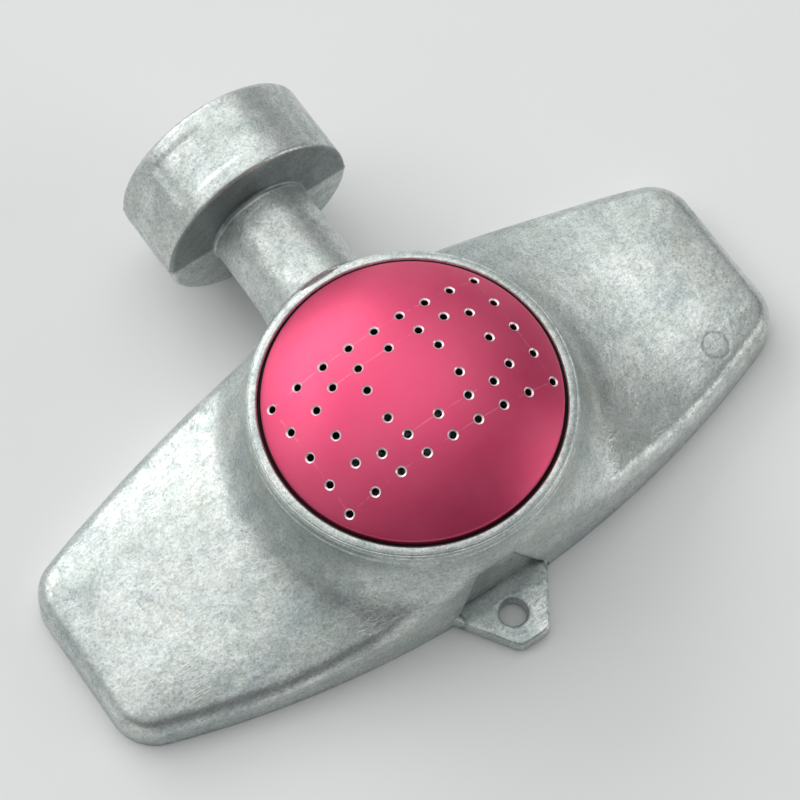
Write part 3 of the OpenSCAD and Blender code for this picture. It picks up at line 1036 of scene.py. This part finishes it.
@dataclass
class Rose:
    """The domed sheet with its upright step, its flange and its drilled spray holes."""

    edge_radius: float = 24.4
    edge_height: float = 27.0
    rise: float = 7.8
    roll: float = 0.9
    thickness: float = 0.9
    flange_radius: float = 25.4
    flange_top: float = 25.0
    hole_radius: float = 0.625
    mouth_radius: float = 0.91
    mouth_depth: float = 0.2
    half_x: float = 19.8
    half_y: float = 10.85
    drill_sides: int = 24
    sharp_degrees: float = 24.0
    columns: int = 264

    @property
    def sphere(self) -> float:
        """Returns the radius of the sphere that the dome is part of."""
        return (self.edge_radius ** 2 + self.rise ** 2) / (2 * self.rise)

    @property
    def centre(self) -> float:
        """Returns the height of that sphere's middle."""
        return self.edge_height + self.rise - self.sphere

    def holes(self) -> Array:
        """Places the spray holes: a rectangle, two inner rows, two end columns and a middle four.

        Returns:
            Rows of x and y.
        """
        gap_x, gap_y = self.half_x / 4, self.half_y / 2
        near, both = 1.18 * gap_x, np.array([-1.0, 1.0])
        groups = [
            (np.arange(-4, 5) * gap_x, both * self.half_y),
            (both * self.half_x, np.arange(-1, 2) * gap_y),
            (np.array([-near - gap_x, -near, 0, near, near + gap_x]), both * 0.63 * self.half_y),
            (both * (self.half_x - gap_x), np.arange(-1, 2) * gap_y),
            (both * 1.39 * gap_x, both * 0.525 * gap_y),
        ]
        return np.concatenate([np.stack(np.meshgrid(a, b), axis=-1).reshape(-1, 2) for a, b in groups])

    def shell(self) -> Surface:
        """Builds the sheet: outer dome, rolled edge, step, flange, and the same way back inside.

        Both domes are arcs of spheres with one middle. The outer edge rolls over from the dome
        to the step.

        Returns:
            The undrilled surface.
        """
        outer, inner = self.sphere, self.sphere - self.thickness
        last = math.asin((self.edge_radius - self.roll) / outer)
        lean = np.linspace(0.004, last, 46)
        dome = np.stack([outer * np.sin(lean), self.centre + outer * np.cos(lean)], axis=-1)
        step = self.edge_radius - self.thickness
        back = np.linspace(math.asin(step / inner), 0.004, 24)
        lining = np.stack([inner * np.sin(back), self.centre + inner * np.cos(back)], axis=-1)
        under = self.flange_top - self.thickness
        corners = np.array([
            tuple(dome[-1]), (self.edge_radius - 0.06, self.edge_height + 0.02),
            (self.edge_radius, self.flange_top), (self.flange_radius, self.flange_top),
            (self.flange_radius, under), (step, under), (step, self.edge_height - 0.7),
        ])
        edge = softened(corners, np.array([0, 0.8, 0.2, 0.2, 0.2, 0.3, 0]), closed=False, steps=8)[2:-1]
        return Surface.from_grid(turned_round(np.concatenate([dome, edge, lining]), self.columns))

    def axes(self) -> Array:
        """Returns the direction of each hole's axis, which is the dome's own normal there."""
        places = self.holes()
        level = np.linalg.norm(places, axis=1)
        return np.concatenate([places, np.sqrt(self.sphere ** 2 - level ** 2)[:, None]], axis=1) / self.sphere

    def drills(self) -> list[Surface]:
        """Builds one drill for each hole: a straight shank that opens in a countersink.

        Returns:
            The drills, each along its hole's axis.
        """
        low, high = -2.0 * self.thickness, 0.6
        slope = (self.mouth_radius - self.hole_radius) / self.mouth_depth
        profile = np.array([
            (self.hole_radius, low), (self.hole_radius, -self.mouth_depth),
            (self.mouth_radius, 0.0), (self.mouth_radius + slope * high, high),
        ])
        shape = turned_round(profile, self.drill_sides)
        normal = self.axes()
        across = np.cross(np.array([0.0, 1.0, 0.0]), normal)
        across /= np.linalg.norm(across, axis=1)[:, None]
        along = np.cross(normal, across)
        axes = np.stack([across, along, normal], axis=1)
        centres = self.sphere * normal + np.array([0.0, 0.0, self.centre])
        placed = np.einsum("rck,dkm->drcm", shape, axes) + centres[:, None, None]
        return [Surface.from_grid(grid) for grid in placed]

    def dress(self, piece: bpy.types.Object, finish: RoseFinish) -> None:
        """Gives the skin and the countersinks their finishes, and the holes' walls a near-black painted shade.

        A face near a hole's axis that leans from the dome's normal is a countersink, or a wall
        where it leans far. A face that looks inwards gets the painted shade too.

        Args:
            piece: The drilled rose.
            finish: The rose's finishes.
        """
        mesh = piece.data
        count = len(mesh.polygons)
        centres, normals = np.empty(count * 3), np.empty(count * 3)
        mesh.polygons.foreach_get("center", centres)
        mesh.polygons.foreach_get("normal", normals)
        centres, normals = centres.reshape(-1, 3) / MM, normals.reshape(-1, 3)
        out = centres - np.array([0.0, 0.0, self.centre])
        distance = np.linalg.norm(out, axis=1)
        facing = np.einsum("ij,ij->i", out / distance[:, None], normals)
        axes = self.axes()
        gap = np.linalg.norm(out[:, None] - (out @ axes.T)[..., None] * axes[None], axis=2).min(axis=1)
        drilled = (gap < self.mouth_radius) & (facing < 0.97) & (centres[:, 2] > self.edge_height - 1)
        # Slot 2 is painted shade: near-black on the holes' walls and on the inward-looking underside.
        slot = np.where(drilled & (facing > 0.3), 1, np.where(drilled | (facing < -0.4), 2, 0))
        for material in (finish.material(), finish.bare(), finish.painted_hole_shade()):
            mesh.materials.append(material)
        mesh.polygons.foreach_set("material_index", slot.astype(np.int32))
        mesh.polygons.foreach_set("use_smooth", np.ones(count, bool))
        mesh.set_sharp_from_angle(angle=math.radians(self.sharp_degrees))

    def build(self, finish: RoseFinish) -> bpy.types.Object:
        """Builds the sheet, drills it and dresses it.

        Args:
            finish: The rose's finishes.

        Returns:
            The rose.
        """
        piece = make_piece("rose_drilled", [self.shell()], Rides.SPRINKLER, "rose_red", "rose_plate")
        tool = make_piece("drill_tool", self.drills(), Rides.SPRINKLER, "rose_red")
        cut = piece.modifiers.new("drilled", "BOOLEAN")
        cut.operation, cut.solver, cut.object = "DIFFERENCE", "EXACT", tool
        bpy.context.view_layer.update()
        drilled = bpy.data.meshes.new_from_object(piece.evaluated_get(bpy.context.evaluated_depsgraph_get()))
        piece.modifiers.clear()
        piece.data = drilled
        bpy.data.objects.remove(tool)
        drilled.materials.clear()
        self.dress(piece, finish)
        LOG.info("rose_drilled: %d holes, %d faces", len(self.holes()), len(drilled.polygons))
        return piece


@dataclass
class Gasket:
    """The rubber ring of U section that grips the rose's flange and is squeezed up past it."""

    bottom: float = 23.2
    top: float = 25.6
    squeezed_top: float = 25.75
    outer_radius: float = 26.0
    bore_radius: float = 22.9
    flange_radius: float = 25.4
    rose_radius: float = 24.4
    lip_radius: float = 24.9

    def build(self, finish: RubberFinish) -> bpy.types.Object:
        """Turns the section round and dresses it.

        Args:
            finish: The rubber.

        Returns:
            The gasket.
        """
        corners = np.array([
            (self.bore_radius, self.bottom), (self.outer_radius, self.bottom), (self.outer_radius, self.top),
            (self.lip_radius - 0.03, self.top), (self.lip_radius - 0.03, self.squeezed_top),
            (self.rose_radius + 0.02, self.squeezed_top), (self.rose_radius + 0.02, 25.0),
            (self.flange_radius, 25.0), (self.flange_radius, 24.1), (self.bore_radius, 24.1),
        ])
        cut = np.array([0.3, 0.25, 0.2, 0.1, 0.15, 0.15, 0.05, 0.05, 0.05, 0.3])
        profile = softened(corners, cut, closed=True, steps=4)
        surface = Surface.from_grid(turned_round(profile, 240), ring=True)
        piece = make_piece("rose_gasket_ring", [surface], Rides.SPRINKLER, "black_rubber", "rose_gasket")
        piece.data.materials.append(finish.material())
        return piece


# ---------------------------------------------------------------- the strainer in the socket


@dataclass
class StrainerWasher:
    """The rubber washer, the folded rim and the woven mesh that come out of the socket together."""

    axis_height: float = 17.5
    back: float = 46.55
    washer_radius: float = 11.85
    washer_bore: float = 7.5
    washer_thickness: float = 2.8
    rim_outer: float = 8.4
    rim_inner: float = 6.8
    rim_thickness: float = 1.2
    mesh_edge: float = 7.95
    dish_radius: float = 6.2
    dish_depth: float = 2.3
    wire: float = 0.22
    pitch: float = 0.75
    columns: int = 128

    @property
    def middle(self) -> float:
        """Returns the distance along the axis to the washer's middle plane."""
        return self.back + self.washer_thickness / 2

    def ring(self, name: str, corners: Array, cut: float, slot: str, node: str) -> bpy.types.Object:
        """Turns a closed section about the inlet's axis.

        Args:
            name: The piece's name.
            corners: Corners of the section, as rows of radius and distance along the axis.
            cut: Length cut from each straight at each corner.
            slot: The material slot.
            node: The node that the piece replaces.

        Returns:
            The piece.
        """
        profile = softened(corners, np.full(len(corners), cut), closed=True, steps=5)
        grid = laid_on_inlet(turned_round(profile, self.columns), self.axis_height)
        return make_piece(name, [Surface.from_grid(grid, ring=True)], Rides.STRAINER, slot, node)

    def washer(self, finish: RubberFinish) -> bpy.types.Object:
        """Builds the washer, with a slot round its bore, and dresses it."""
        front, half = self.back + self.washer_thickness, self.rim_thickness / 2
        corners = np.array([
            (self.washer_bore, self.back), (self.washer_radius, self.back), (self.washer_radius, front),
            (self.washer_bore, front), (self.washer_bore, self.middle + half),
            (self.rim_outer, self.middle + half), (self.rim_outer, self.middle - half),
            (self.washer_bore, self.middle - half),
        ])
        piece = self.ring("inlet_washer_ring", corners, 0.3, "washer_rubber", "inlet_washer")
        piece.data.materials.append(finish.material())
        return piece

    def rim(self, finish: BrightMetalFinish) -> bpy.types.Object:
        """Builds the rim that is folded over the mesh's edge, and dresses it."""
        half, gap = self.rim_thickness / 2 - 0.02, 0.17
        corners = np.array([
            (self.rim_inner, self.middle - half), (self.rim_outer - 0.02, self.middle - half),
            (self.rim_outer - 0.02, self.middle + half), (self.rim_inner, self.middle + half),
            (self.rim_inner, self.middle + gap), (self.mesh_edge, self.middle + gap),
            (self.mesh_edge, self.middle - gap), (self.rim_inner, self.middle - gap),
        ])
        piece = self.ring("strainer_rim_fold", corners, 0.18, "rim_brass", "strainer_rim")
        piece.data.materials.append(finish.material())
        return piece

    def mesh(self, finish: BrightMetalFinish) -> bpy.types.Object:
        """Weaves the mesh: two sets of wires that pass over and under each other.

        A wire lies on the dish, whose depth falls off as an eased curve of the distance from the
        axis. It swings from one side to the other as a cosine of the distance along it, and its
        neighbour swings the other way. Each wire is a six-sided tube with closed ends.

        Args:
            finish: The wire.

        Returns:
            The mesh.
        """
        reach = self.mesh_edge - 0.15
        count = int(reach / self.pitch - 0.25)
        offsets = (np.arange(-count, count + 1) * self.pitch)[:, None]
        half = np.sqrt(reach ** 2 - offsets ** 2)
        along = np.linspace(-1, 1, 72)[None] * half
        side = np.where(np.arange(-count, count + 1) % 2, 1, -1)[:, None]
        swing = np.cos(np.pi * along / self.pitch) * side
        away = np.hypot(along, offsets)
        dish = -self.dish_depth * ease((self.dish_radius - away) / 5.2)
        flatten = np.where(away > self.rim_inner - 0.3, 0.28, 0.5)
        level = dish + swing * self.wire * flatten
        across = offsets + 0.0 * along
        surfaces = []
        crossing = dish - (level - dish)
        for line in (np.stack([along, across, level], -1), np.stack([across, along, crossing], -1)):
            tangent = np.gradient(line, axis=1)
            tangent /= np.linalg.norm(tangent, axis=2)[..., None]
            sideways = np.cross(tangent, np.array([0.0, 0.0, 1.0]))
            sideways /= np.linalg.norm(sideways, axis=2)[..., None]
            upward = np.cross(sideways, tangent)
            turn = np.linspace(0, 2 * np.pi, 6, endpoint=False)
            tube = line[:, :, None] + self.wire / 2 * (
                sideways[:, :, None] * np.cos(turn)[:, None] + upward[:, :, None] * np.sin(turn)[:, None]
            )
            tube = tube + np.array([0.0, 0.0, self.middle])
            surfaces += [Surface.from_grid(laid_on_inlet(grid, self.axis_height)) for grid in tube]
        piece = make_piece("strainer_mesh_woven", surfaces, Rides.STRAINER, "mesh_steel", "strainer_mesh")
        piece.data.materials.append(finish.material())
        return piece


# ---------------------------------------------------------------- floor, light and camera


@dataclass
class Studio:
    """The pale floor, the soft lights and the camera."""

    floor_tone: float = 0.90
    surround: tuple = (0.98, 1.0, 1.0, 1.0)
    bright_side: tuple = (-0.15, 0.6, 0.78)
    dim_from: float = 0.15
    bright_from: float = 0.9
    dim: float = 0.10
    bright: float = 0.80
    azimuth: float = -36.6764
    elevation: float = 68.241
    roll: float = 1.6357
    distance: float = 484.37
    lens: float = 129.46
    shift_x: float = -0.01367
    shift_y: float = 0.07638

    def floor(self) -> None:
        """Lays the floor, a wide sheet whose edges rise gently, with a faintly uneven finish."""
        side = np.linspace(-2.5, 2.5, 41)
        x, y = np.meshgrid(side, side, indexing="ij")
        z = -0.00015 + 0.35 * ease((np.hypot(x, y) - 1.4) / 1.4)
        number = np.arange(x.size).reshape(x.shape)
        corners = [number[:-1, :-1], number[1:, :-1], number[1:, 1:], number[:-1, 1:]]
        quads = np.stack(corners, -1).reshape(-1, 4)
        mesh = bpy.data.meshes.new("floor")
        mesh.from_pydata(np.stack([x, y, z], -1).reshape(-1, 3).tolist(), [], quads.tolist())
        mesh.polygons.foreach_set("use_smooth", np.ones(len(quads), bool))
        r = Recipe("floor_paper")
        tone = r.ramp(r.noise(0.02, 3), 0.3, 0.7, self.floor_tone * 0.995, self.floor_tone * 1.005)
        mesh.materials.append(r.finish(Base_Color=tone, Roughness=0.9, Specular_IOR_Level=0.1))
        floor = bpy.data.objects.new("floor", mesh)
        bpy.context.collection.objects.link(floor)

    def lamp(self, name: str, where: tuple, size: tuple, power: float) -> None:
        """Hangs a soft rectangular light that faces the object.

        Args:
            name: The light's name.
            where: Its place in metres.
            size: Its width and height in metres.
            power: Its power in watts.
        """
        data = bpy.data.lights.new(name, "AREA")
        data.shape, data.size, data.size_y = "RECTANGLE", *size
        data.energy = power
        lamp = bpy.data.objects.new(name, data)
        lamp.location = where
        lamp.rotation_euler = (-Vector(where)).to_track_quat("-Z", "Y").to_euler()
        bpy.context.collection.objects.link(lamp)

    def light(self) -> None:
        """Lights the scene: a surround that is pale on one side, and four soft lamps.

        The surround's strength follows a direction's share along its bright side. The key and the
        side lamp hang on that side, one hangs above, and a weak fill hangs opposite.
        """
        world = bpy.data.worlds.new("studio")
        bpy.context.scene.world = world
        world.use_nodes = True
        tree = world.node_tree
        way = tree.nodes.new("ShaderNodeTexCoord")
        share = tree.nodes.new("ShaderNodeVectorMath")
        share.operation = "DOT_PRODUCT"
        share.inputs[1].default_value = Vector(self.bright_side).normalized()
        tree.links.new(way.outputs["Generated"], share.inputs[0])
        level = tree.nodes.new("ShaderNodeMapRange")
        level.interpolation_type = "SMOOTHSTEP"
        for key, value in zip(RANGE_INPUTS, (self.dim_from, self.bright_from, self.dim, self.bright)):
            level.inputs[key].default_value = value
        tree.links.new(share.outputs["Value"], level.inputs["Value"])
        tree.links.new(level.outputs[0], tree.nodes["Background"].inputs["Strength"])
        tree.nodes["Background"].inputs["Color"].default_value = self.surround
        self.lamp("key", (-0.1, 1.2, 0.66), (1.1, 0.5), 4.4)
        self.lamp("side", (-0.75, 0.85, 0.95), (0.8, 0.6), 2.0)
        self.lamp("top", (0.35, 0.45, 1.5), (1.5, 1.4), 4.0)
        self.lamp("fill", (1.0, -0.85, 0.55), (0.9, 0.5), 2.6)

    def camera(self) -> None:
        """Sets the camera: it looks down and across the wings, with a slight roll and shift."""
        turn, rise, roll = (math.radians(a) for a in (self.azimuth, self.elevation, self.roll))
        back = np.array([math.sin(turn) * math.cos(rise), -math.cos(turn) * math.cos(rise), math.sin(rise)])
        right = np.array([math.cos(turn), math.sin(turn), 0.0])
        up = np.cross(back, right)
        across = math.cos(roll) * right + math.sin(roll) * up
        upward = -math.sin(roll) * right + math.cos(roll) * up
        data = bpy.data.cameras.new("camera")
        data.sensor_width, data.lens = 36.0, self.lens
        data.shift_x, data.shift_y = self.shift_x, self.shift_y
        data.clip_start, data.clip_end = 0.05, 20.0
        camera = bpy.data.objects.new("camera", data)
        matrix = np.eye(4)
        matrix[:3] = np.stack([across, upward, back, back * self.distance * MM], axis=1)
        camera.matrix_world = Matrix(matrix.tolist())
        bpy.context.collection.objects.link(camera)
        bpy.context.scene.camera = camera


def main() -> None:
    """Builds every piece in order, then the studio round them."""
    logging.basicConfig(level=logging.INFO, format="%(name)s: %(message)s")
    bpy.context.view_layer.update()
    bpy.context.scene.view_settings.view_transform = "Standard"
    studio = Studio()
    studio.camera()
    BodyCasting(Base(), Inlet(), Lug(), CastFinish()).build()
    Gasket().build(RubberFinish())
    Rose().build(RoseFinish())
    strainer = StrainerWasher()
    strainer.washer(RubberFinish("washer_rubber_moulded", (0.02, 0.02, 0.02), (0.07, 0.07, 0.068)))
    strainer.rim(BrightMetalFinish())
    strainer.mesh(BrightMetalFinish("mesh_steel_wire", (0.72, 0.72, 0.70), (0.42, 0.41, 0.38), 0.2))
    studio.floor()
    studio.light()


if __name__ == "__main__":
    main()
